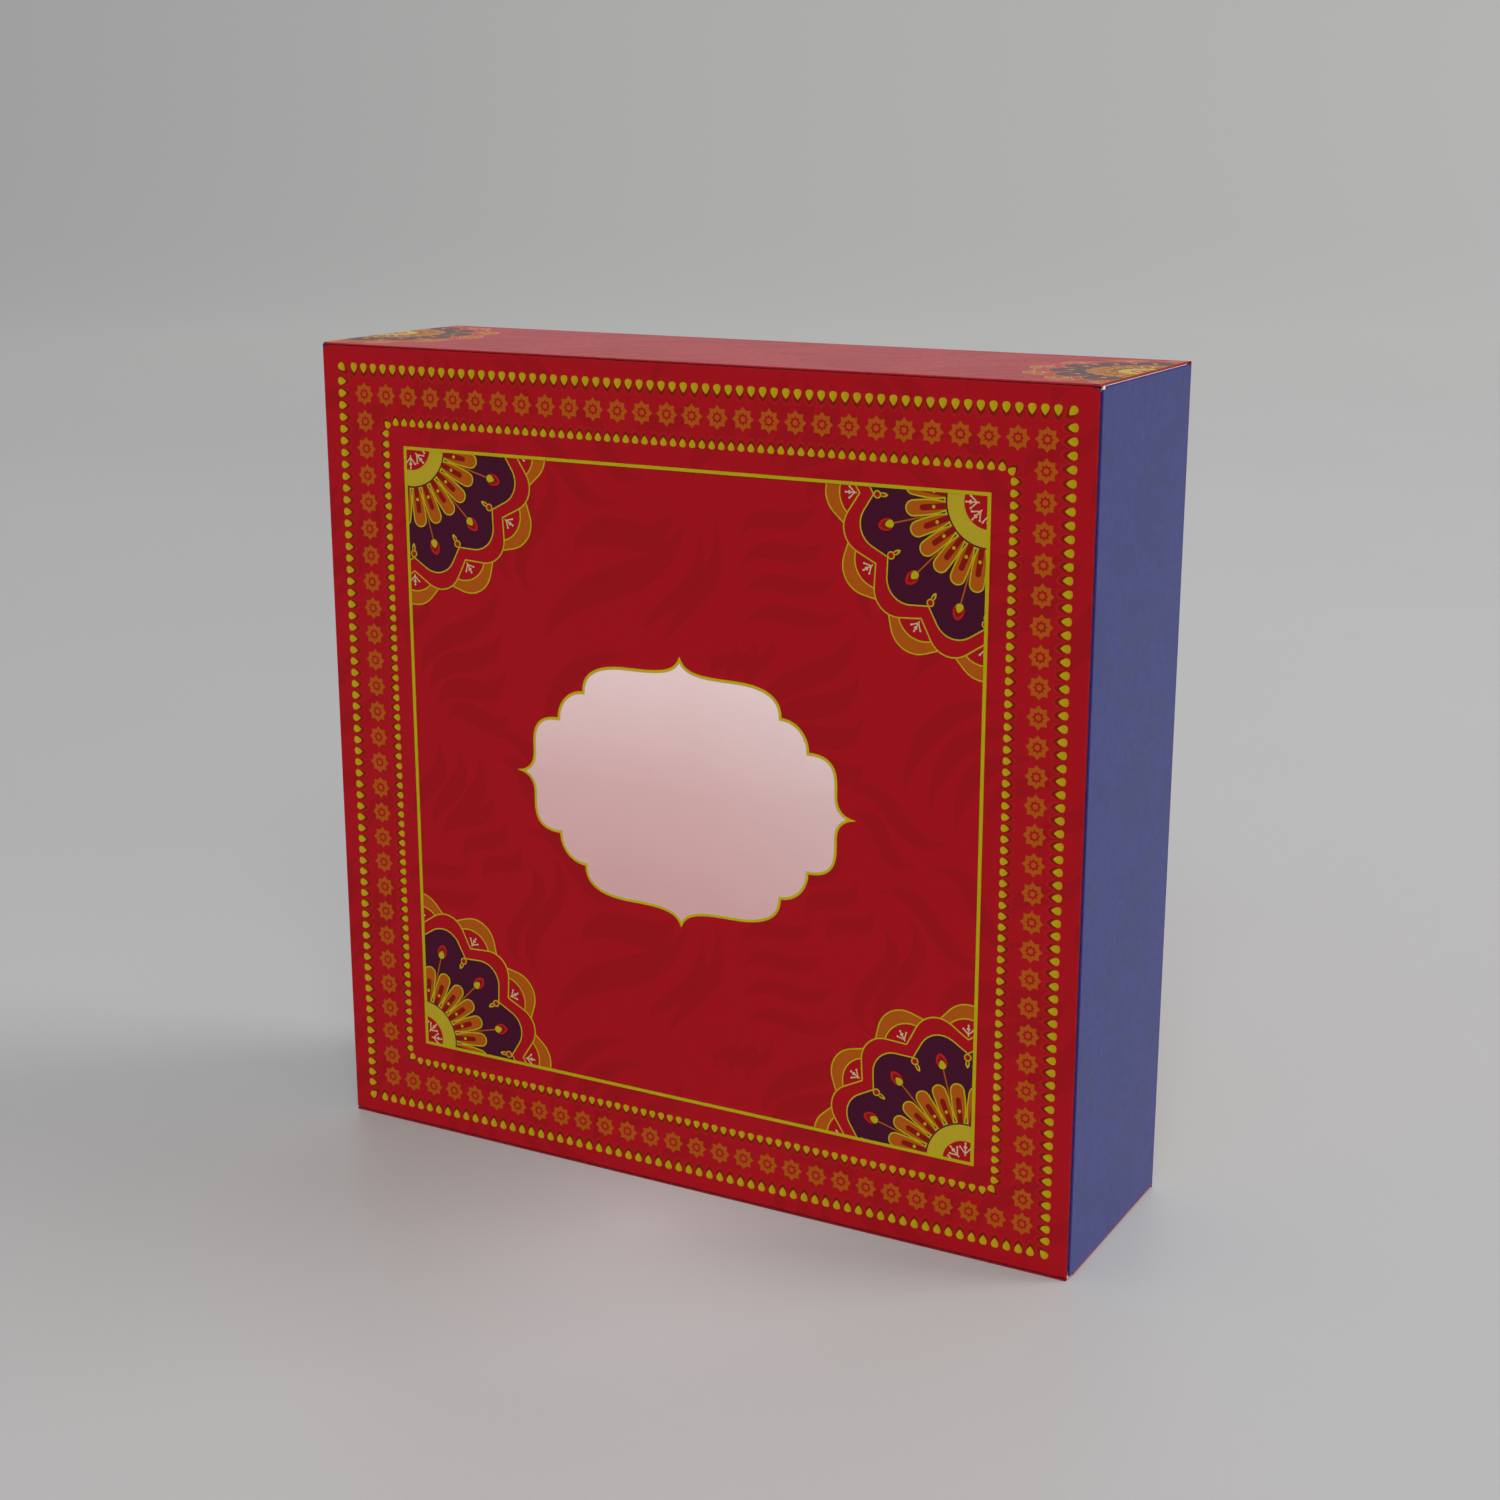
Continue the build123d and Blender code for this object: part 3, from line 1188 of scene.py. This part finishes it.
    def _lay_fingers(self, lay: object, roots: np.ndarray, gaps: np.ndarray) -> None:
        """Lays the ring of finger petals and the wedges between their roots."""
        lay(Ink.GOLD, self.finger(0.0), 11, roots)
        lay(Ink.ORANGE, self.finger(0.33), 12, roots)
        lay(Ink.DEEP_RED, bar(0.66, 9.75, 16.1), 13, roots)
        lay(Ink.GOLD, disc(0.4, 12) + (0.0, 12.78), 14, roots)
        wedge = np.array([[-0.5, 9.95], [0.5, 9.95], [0.12, 12.8], [-0.12, 12.8]])
        lay(Ink.GOLD, wedge, 13, gaps)
        slit = np.array([[-0.2, 10.3], [0.2, 10.3], [0.0, 11.9]])
        lay(Ink.AUBERGINE, slit, 14, gaps)

    @staticmethod
    def finger(inset: float) -> np.ndarray:
        """Outline of one finger petal, drawn in by inset at its sides and tip.

        Formula: the half width grows from 1.0 at the root to 1.85, as one
        less the 2.2th power of what is left of the way, and ends in a half
        circle of that radius.
        """
        place = np.linspace(9.9, 17.65, 6)
        left = np.clip(1 - (place - 9.9) / 5.6, 0.0, 1.0)
        half = 1.85 - 0.85 * left**2.2 - inset
        angle = np.linspace(0.0, np.pi, 9)[1:-1]
        cap = np.stack(
            [half[-1] * np.cos(angle), 17.65 + half[-1] * np.sin(angle)], -1
        )
        right = np.stack([half, place], -1)
        return np.concatenate([right, cap, (right * (-1, 1))[::-1]])

    @staticmethod
    def sprig(foot: float, height: float, size: float) -> list[np.ndarray]:
        """Strokes of a three-branched sprig that stands on foot.

        Args:
            foot: Axial place of its foot.
            height: Its height.
            size: Scale of its strokes and dots.

        Returns:
            The stem, the diamond and the dot on it, and the two branches
            with their dots.
        """
        base, fork = (0.0, foot), (0.0, foot + 0.18 * height)
        reach, rise = 1.32 * size, foot + 0.66 * height
        shapes = [
            line(base, (0.0, foot + height), 0.3 * size),
            disc(0.52 * size, 4) + (0.0, foot + 0.68 * height),
            disc(0.26 * size, 8) + (0.0, foot + height),
        ]
        for side in (-1, 1):
            shapes.append(line(fork, (side * reach, rise), 0.3 * size))
            shapes.append(disc(0.26 * size, 8) + (side * reach, rise))
        return shapes


@dataclass(frozen=True)
class CartoucheEdge:
    """Gold edge of the label, with a thin pale line inside it."""

    half: tuple[float, float] = (45.5, 32.7)
    middle: tuple[float, float] = (100.0, 100.0)
    gold: float = 0.6
    pale: float = 0.09
    runs: tuple[tuple[tuple[float, float], ...], ...] = (
        ((0.0, 1.0), (0.027, 0.893), (0.099, 0.875), (0.301, 0.875)),
        ((0.301, 0.875), (0.473, 0.877), (0.585, 0.82), (0.585, 0.657)),
        ((0.585, 0.657), (0.671, 0.657), (0.74, 0.557), (0.74, 0.437)),
        ((0.74, 0.437), (0.833, 0.44), (0.897, 0.394), (0.897, 0.232)),
        ((0.897, 0.151), (0.897, 0.058), (0.936, 0.012), (1.0, 0.0)),
    )

    def quarter(self) -> np.ndarray:
        """One quarter of the outline, from its top point to its right point.

        Returns:
            n by 2, across and up from the middle. Formula: each run is the
            cubic of its four places, in shares of the two half sizes.
        """
        share = np.linspace(0.0, 1.0, 12)[:, None]
        pieces = []
        for run in self.runs:
            first, second, third, last = (np.array(place) for place in run)
            curve = (1 - share) ** 3 * first + 3 * (1 - share) ** 2 * share * second
            curve = curve + 3 * (1 - share) * share**2 * third + share**3 * last
            pieces.append(curve if not pieces or run[0][1] == 0.151 else curve[1:])
        return np.concatenate(pieces) * self.half

    def draw(self, run: PrintRun) -> None:
        """Lays both lines, quarter by quarter, each cut at the two axes."""
        quarter = self.quarter()
        skin = self.inner_quarter(quarter, 0.3)
        whole = [skin, (skin * (1, -1))[::-1], skin * (-1, -1), (skin * (-1, 1))[::-1]]
        run.lay(Ink.FOIL, np.concatenate(whole) * (1, -1) + self.middle, 2)
        rings = (
            (Ink.LABEL_GOLD, -0.06, self.gold, 4),
            (Ink.PALE, self.gold, self.gold + self.pale, 3),
        )
        for ink, outer, inner, layer in rings:
            strip = self.strip(quarter, outer, inner)
            for mirror in ((1, -1), (1, 1), (-1, 1), (-1, -1)):
                outline = strip * mirror + self.middle
                run.lay(ink, outline, layer, tone=np.full(len(outline), 0.1))

    @staticmethod
    def inner_quarter(quarter: np.ndarray, inset: float) -> np.ndarray:
        """The quarter outline drawn in by inset and kept inside the axes."""
        moved = moved_in(quarter * (1, -1), inset) * (1, -1)
        return np.maximum(moved, 0.0)

    @staticmethod
    def strip(quarter: np.ndarray, outer: float, inner: float) -> np.ndarray:
        """The strip between two parallels of the quarter outline.

        Args:
            quarter: The outline, across and up from the middle.
            outer: Distance in of the strip's outer side.
            inner: Distance in of its inner side.

        Returns:
            A closed outline, cut where it passes the axes.
        """
        flipped = quarter * (1, -1)
        sides = [moved_in(flipped, outer), moved_in(flipped, inner)[::-1]]
        outline = np.concatenate(sides) * (1, -1)
        cut, _ = clipped(outline, np.zeros(len(outline)), (0.0, 0.0, 60.0, 60.0))
        return cut


# The box


@dataclass
class SweetBox:
    """The whole box: its boards, its label and the print on every face."""

    side: float = 0.2
    half_depth: float = 0.028
    board: float = 0.0005
    red: Triple = (149, 4, 17)
    lid_red: Triple = (151, 5, 19)
    # darker red for the top face: painted shade, where the top takes more light
    top_painted_shade_red: Triple = (139, 5, 20)
    # darker red on the front wall's edges: painted shade on its upward-facing strip
    foot_painted_shade_red: Triple = (112, 3, 12)
    # darker red on the lid's cut edges: painted shade where the side lamp lights them
    rim_painted_shade_red: Triple = (118, 5, 24)
    top_gloss: float = 0.152
    navy: Triple = (60, 64, 115)
    tuck_tilt: float = math.radians(4.3049)
    hem: float = 0.00088
    fold_width: float = 0.0003
    clear: float = 0.005
    flap_face: float = 0.02735
    tuck_pivot: float = 0.00085
    rosette_scale: float = 0.7
    web_front: tuple[float, float] = (-0.02745, -0.02737)
    web_low: float = 0.1987
    webs: tuple[tuple[str, float, float], ...] = (
        ("right", 0.0979, 0.09905), ("left", -0.09995, -0.0979)
    )
    rosettes: tuple[tuple[float, float], ...] = (
        (25.7, 23.63), (175.87, 25.99), (174.27, 177.05), (23.48, 174.97)
    )
    materials: dict[Ink, bpy.types.Material] = field(default_factory=dict)

    def build(self) -> None:
        """Makes the inks, dresses the boards and prints every face."""
        self.materials = {ink: ink.value.material() for ink in Ink}
        self.dress_boards()
        self.print_lid()
        self.print_tray()
        self.print_flaps()
        self.add_gussets()

    def board_finish(
        self,
        node: str,
        colour: Triple,
        outward: Triple,
        face: float,
        spare: tuple[Triple, Triple] = ((0, 0, 0), (0, 0, 0)),
        **more: object,
    ) -> BoardFinish:
        """Makes one board's finish from its own box.

        Args:
            node: The board's node, whose finish is named after it.
            colour: Colour of its print.
            outward: Direction from its bare side to its printed side.
            face: Place of the printed face along that direction.
            spare: How far outside its box, at the low and high ends, the edges
                count that take no turned-over print.
            more: Other fields of the finish.

        Returns:
            The finish. Its print starts a little above the bare face.
        """
        low, high = (np.array(corner, float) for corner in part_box(node))
        low, high = low - spare[0], high + spare[1]
        thin = np.abs(np.array(outward, float)) > 0.5
        half = np.where(thin, 1.0, (high - low) / 2)
        return BoardFinish(
            f"{node}_board", colour, tuple(map(float, outward)),
            face - self.board * 0.96, tuple(map(float, (low + high) / 2)),
            tuple(map(float, half)), **more,
        )

    def dress_boards(self) -> None:
        """Gives each packed board the finish of its printed and bare sides."""
        wide, deep, flap = self.side / 2, self.half_depth, self.flap_face
        # the side walls' folds take the deep navy as painted shade
        folded = {"hem": self.hem, "fold_width": self.fold_width}
        behind = ((0, 0, 0), (0, self.clear, 0))
        aside = ((self.clear, 0, 0), (self.clear, self.clear, 0))
        pale = {"turn_over": -0.0001}
        lidded = {"turn_over": 0.0006, "gloss": self.top_gloss, "spare": behind}
        # painted shade: the front wall's edges take the darker foot red
        footed = {
            "turn_over": 0.0007, "fold_width": 0.0007, "fold_print_and_shade_colour": self.foot_painted_shade_red,
            "spare": aside,
        }
        # painted shade: the lid's cut edges take the darker rim red
        rimmed = {"fold_width": 0.00006, "fold_print_and_shade_colour": self.rim_painted_shade_red}
        backed = {
            "turn_over": 0.00052, "fold_width": 0.00006, "fold_print_and_shade_colour": self.navy,
            "fold_axes": "X",
        }
        rows = (
            ("base_panel", self.red, (0, 1, 0), deep, backed),
            ("hinge_wall", self.top_painted_shade_red, (0, 0, 1), self.side, lidded),
            ("front_wall", self.red, (0, 0, -1), 0.0, footed),
            ("right_wall", self.navy, (1, 0, 0), wide, folded),
            ("left_wall", self.navy, (-1, 0, 0), wide, folded),
            ("lid_panel", self.lid_red, (0, -1, 0), deep, rimmed),
            ("tuck_flap", self.red, self.tuck_outward(), self.tuck_outer_face(), {}),
            ("right_dust_flap", self.navy, (0, -1, 0), flap, pale),
            ("left_dust_flap", self.navy, (0, -1, 0), flap, pale),
            # the glue tabs carry no print: their printed face lies clear of them
            *(
                (f"{wall}_tab_{side}", self.red, (sign, 0, 0), wide + self.clear, pale)
                for wall in ("hinge", "front") for side, sign in (("right", 1), ("left", -1))
            ),
        )
        finishes: dict[str, BoardFinish | FoilFinish] = {
            node: self.board_finish(node, colour, outward, face, **more)
            for node, colour, outward, face, more in rows
        }
        finishes["cartouche_label"] = FoilFinish()
        for node, finish in finishes.items():
            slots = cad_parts[node].data.materials
            slots.clear()
            slots.append(finish.material())
            log.info("%s: %s", node, finish.title)

    def tuck_outward(self) -> Triple:
        """Direction from the tuck flap's bare side to its printed side."""
        return 0.0, math.sin(self.tuck_tilt), -math.cos(self.tuck_tilt)

    def tuck_outer_face(self) -> float:
        """Distance of the tuck flap's printed face along its own normal."""
        pivot = Vector((0.0, -self.half_depth + self.board / 2, self.tuck_pivot))
        return pivot.dot(Vector(self.tuck_outward())) + self.board / 2

    def print_lid(self) -> None:
        """Prints the lid: leaves, border, corner rosettes and label edge."""
        run = PrintRun(Face(
            "lid", "lid", "lid_panel", (-0.1, -0.028, 0.2), (1, 0, 0), (0, 0, -1),
            (0.6, 1.0, 199.4, 199.2),
        ))
        LeafGround().draw(run, Ink.LEAF_RED, (0.0, 0.0))
        PetalRow(
            base=(4.5, 4.8), tip=6.8, dark_tip=7.75, rim_tip=8.35, width=1.8,
            rim_width=2.75, first=(9.7, 9.07), spacing=(2.8722, 2.893),
            corner=(6.1, 5.7), sink=0.3,
        ).draw(run)
        PetalRow(
            base=(19.0, 19.4), tip=17.1, dark_tip=16.3, rim_tip=15.75, width=1.65,
            rim_width=2.4, first=(21.6, 21.04), spacing=(2.492, 2.513),
            corner=(19.1, 18.8), sink=0.45,
        ).draw(run)
        StarRow().draw(run)
        gold_frame = GoldFrame()
        gold_frame.draw(run)
        left, top, right, bottom = gold_frame.under()
        for middle in self.rosettes:
            near = middle[0] < 100.0, middle[1] < 100.0
            window = (
                left if near[0] else 100.0, top if near[1] else 100.0,
                100.0 if near[0] else right, 100.0 if near[1] else bottom,
            )
            Mandala().draw(run, middle, window)
        CartoucheEdge().draw(run)
        run.build(self.materials)

    def print_leaves(
        self,
        face: Face,
        ink: Ink,
        start: tuple[float, float],
        upturned: bool = False,
        rosettes: tuple[tuple[float, float], ...] = (),
        ground: LeafGround = LeafGround(),
    ) -> None:
        """Prints a face with leaves, and with rosettes on top of them.

        Args:
            face: The face.
            ink: The leaf ink.
            start: Place of one repeat's upper left corner.
            upturned: Whether the leaves are turned over from top to bottom.
            rosettes: Middles of the small rosettes.
            ground: The leaves.
        """
        run = PrintRun(face)
        ground.draw(run, ink, start, upturned)
        for middle in rosettes:
            Mandala(scale=self.rosette_scale).draw(run, middle, face.window)
        run.build(self.materials)

    def print_tray(self) -> None:
        """Prints the tray: the top's rosettes, and leaves on every wall."""
        self.print_leaves(
            Face("top", "tray", "hinge_wall", (-0.1, 0.028, 0.2), (1, 0, 0), (0, -1, 0),
                 (0.52, 0.6, 199.48, 55.4)),
            Ink.LEAF_TOP_PAINTED_SHADE, (-0.8, -40.1), rosettes=((0.0, 28.0), (200.0, 28.0)),
        )
        self.print_leaves(
            Face("back", "tray", "base_panel", (0.1, 0.028, 0.2), (-1, 0, 0), (0, 0, -1),
                 (0.6, 0.6, 199.4, 199.4)),
            Ink.LEAF_RED, (0.0, 40.0),
        )
        self.print_leaves(
            Face("foot", "tray", "front_wall", (-0.1, -0.028, 0.0), (1, 0, 0), (0, 1, 0),
                 (0.6, 0.6, 199.4, 55.4)),
            Ink.LEAF_RED, (0.0, -8.0),
        )
        self.print_leaves(
            Face("right", "tray", "right_wall", (0.1, -0.028, 0.2), (0, 1, 0), (0, 0, -1),
                 (1.08, 1.3, 55.3, 198.7)),
            Ink.LEAF_NAVY, (-4.8, 105.1), upturned=True, ground=LeafGround((95.4, 96.4)),
        )
        self.print_leaves(
            Face("left", "tray", "left_wall", (-0.1, 0.028, 0.2), (0, -1, 0), (0, 0, -1),
                 (0.7, 1.3, 54.92, 198.7)),
            Ink.LEAF_NAVY, (-34.0, 104.4), upturned=True,
        )

    def add_gussets(self) -> None:
        """Adds the small navy webs of board that close the tray's top corners.

        Formula: a flat web from the side wall inwards, as thick as thin card,
        from the dust flap's top up to the underside of the hinge wall.
        """
        web = InkFinish("gusset_navy_board", FOLD_NAVY, FOLD_NAVY).material()
        high = self.side - self.board + 0.000002
        for title, start, end in self.webs:
            corners = [
                (x, y, z) for x in (start, end) for y in self.web_front
                for z in (self.web_low, high)
            ]
            faces = [
                [0, 1, 3, 2], [4, 6, 7, 5], [0, 4, 5, 1], [2, 3, 7, 6], [0, 2, 6, 4],
                [1, 5, 7, 3],
            ]
            make_piece(
                f"corner_gusset_{title}", np.array(corners), faces, web, "tray",
            )

    def print_flaps(self) -> None:
        """Prints leaves on the outsides of the dust flaps and the tuck flap."""
        for title, window in (
            ("right_flap", (149.0, 38.5, 198.8, 186.0)),
            ("left_flap", (1.2, 38.5, 51.0, 186.0)),
        ):
            node = title.replace("flap", "dust_flap")
            self.print_leaves(
                Face(title, title, node, (-0.1, -self.flap_face, 0.2), (1, 0, 0),
                     (0, 0, -1), window),
                Ink.LEAF_NAVY, (10.0, 0.0), upturned=True,
            )
        _, sine, fall = self.tuck_outward()
        pivot = Vector((-0.1, -self.half_depth + self.board / 2, self.tuck_pivot))
        corner = pivot + Vector((0.0, sine, fall)) * self.board / 2
        self.print_leaves(
            Face("tuck", "tuck", "tuck_flap", tuple(corner), (1, 0, 0), (0, -fall, sine),
                 (11.5, 0.8, 188.5, 19.3)),
            Ink.LEAF_RED, (0.0, -8.0),
        )


# Studio


@dataclass(frozen=True)
class Lamp:
    """A large far lamp, given by the direction towards it and its level."""

    title: str
    towards: Triple
    level: float
    softness: float
    colour: Triple = (1.0, 1.0, 1.0)

    def hang(self) -> None:
        """Adds the lamp; a white face square to it shines at its level."""
        data = bpy.data.lights.new(self.title, "SUN")
        data.energy, data.color = self.level * math.pi, self.colour
        data.angle = math.radians(self.softness)
        lamp = bpy.data.objects.new(self.title, data)
        aim = Vector(self.towards)
        lamp.location = aim * 2.0
        lamp.rotation_euler = aim.to_track_quat("Z", "Y").to_euler()
        bpy.context.scene.collection.objects.link(lamp)


@dataclass(frozen=True)
class Studio:
    """Seamless round sweep, soft lamps, plain world and the camera."""

    flat_radius: float = 2.7
    wall_radius: float = 3.6
    bend_height: float = 0.35
    wall_height: float = 0.9
    camera_place: Triple = (0.2676, -0.48033, 0.25067)
    azimuth: float = 28.838
    elevation: float = 14.924
    lens: float = 56.25
    ambient: float = 0.62
    distance_grey: float = 0.407
    mirrored_white: float = 0.92
    lamps: tuple[Lamp, ...] = (
        Lamp("front_lamp", (0.38, -0.69, 0.62), 0.66, 32.0),
        Lamp("side_lamp", (0.72, 0.395, 0.574), 0.5, 30.0),
    )

    def build(self) -> None:
        """Sets up the sweep, the lamps, the world and the camera."""
        self.lay_sweep()
        for lamp in self.lamps:
            lamp.hang()
        self.set_world()
        self.set_camera()
        bpy.context.scene.view_settings.view_transform = "Standard"

    def lay_sweep(self) -> None:
        """Makes the floor and wall as one surface turned about the middle.

        Formula: a profile that runs out flat, bends up through a quarter of an
        ellipse and rises straight, carried round in even steps of angle.
        """
        bend = np.linspace(0.0, np.pi / 2, 17)
        flat = np.linspace(0.02, self.flat_radius, 12)
        rise = self.bend_height
        radius = np.concatenate([
            flat, self.flat_radius + (self.wall_radius - self.flat_radius) * np.sin(bend[1:]),
            np.full(4, self.wall_radius),
        ])
        height = np.concatenate([
            np.zeros(len(flat)), rise * (1 - np.cos(bend[1:])),
            np.linspace(rise, self.wall_height, 5)[1:],
        ])
        count = 128
        angle = np.linspace(0.0, 2 * np.pi, count, endpoint=False)
        points = np.stack([
            radius[:, None] * np.cos(angle), radius[:, None] * np.sin(angle),
            np.repeat(height[:, None], count, 1),
        ], -1).reshape(-1, 3)
        ring, turn = np.meshgrid(np.arange(len(radius) - 1), np.arange(count), indexing="ij")
        after = (turn + 1) % count
        first, second = ring * count + turn, ring * count + after
        faces = np.stack([first, first + count, second + count, second], -1).reshape(-1, 4)
        mesh = bpy.data.meshes.new("studio_sweep")
        mesh.from_pydata(points.tolist(), [], faces.tolist() + [list(range(count))])
        mesh.polygons.foreach_set("use_smooth", np.ones(len(mesh.polygons), bool))
        mesh.materials.append(FloorFinish().material())
        mesh.update()
        sweep = bpy.data.objects.new("studio_sweep", mesh)
        bpy.context.scene.collection.objects.link(sweep)

    def set_world(self) -> None:
        """Lights everything a little from all round."""
        world = bpy.data.worlds.new("studio_air")
        bench = Bench(world, "ShaderNodeOutputWorld")
        air = bench.add(
            "ShaderNodeBackground", None,
            {"Color": (1.0, 1.0, 1.0, 1.0), "Strength": self.ambient},
        )
        for kind, level in (
            ("Is Glossy Ray", self.mirrored_white), ("Is Camera Ray", self.distance_grey)
        ):
            shown = bench.add(
                "ShaderNodeBackground", None, {"Color": (level, level, level, 1.0)}
            )
            air = bench.blend(bench.ray(kind), air, shown)
        bench.finish(air)
        bpy.context.scene.world = world

    def set_camera(self) -> None:
        """Places the camera; it looks down by elevation, turned by azimuth."""
        data = bpy.data.cameras.new("camera")
        data.lens, data.sensor_width = self.lens, 36.0
        data.clip_start, data.clip_end = 0.01, 50.0
        camera = bpy.data.objects.new("camera", data)
        turn, fall = math.radians(self.azimuth), math.radians(self.elevation)
        aim = Vector((
            -math.sin(turn) * math.cos(fall), math.cos(turn) * math.cos(fall),
            -math.sin(fall),
        ))
        camera.location = self.camera_place
        camera.rotation_euler = aim.to_track_quat("-Z", "Y").to_euler()
        bpy.context.scene.collection.objects.link(camera)
        bpy.context.scene.camera = camera


def main() -> None:
    """Builds the studio and the box, and reports each piece."""
    logging.basicConfig(level=logging.INFO, format="%(message)s")
    Studio().build()
    SweetBox().build()


if __name__ == "__main__":
    main()
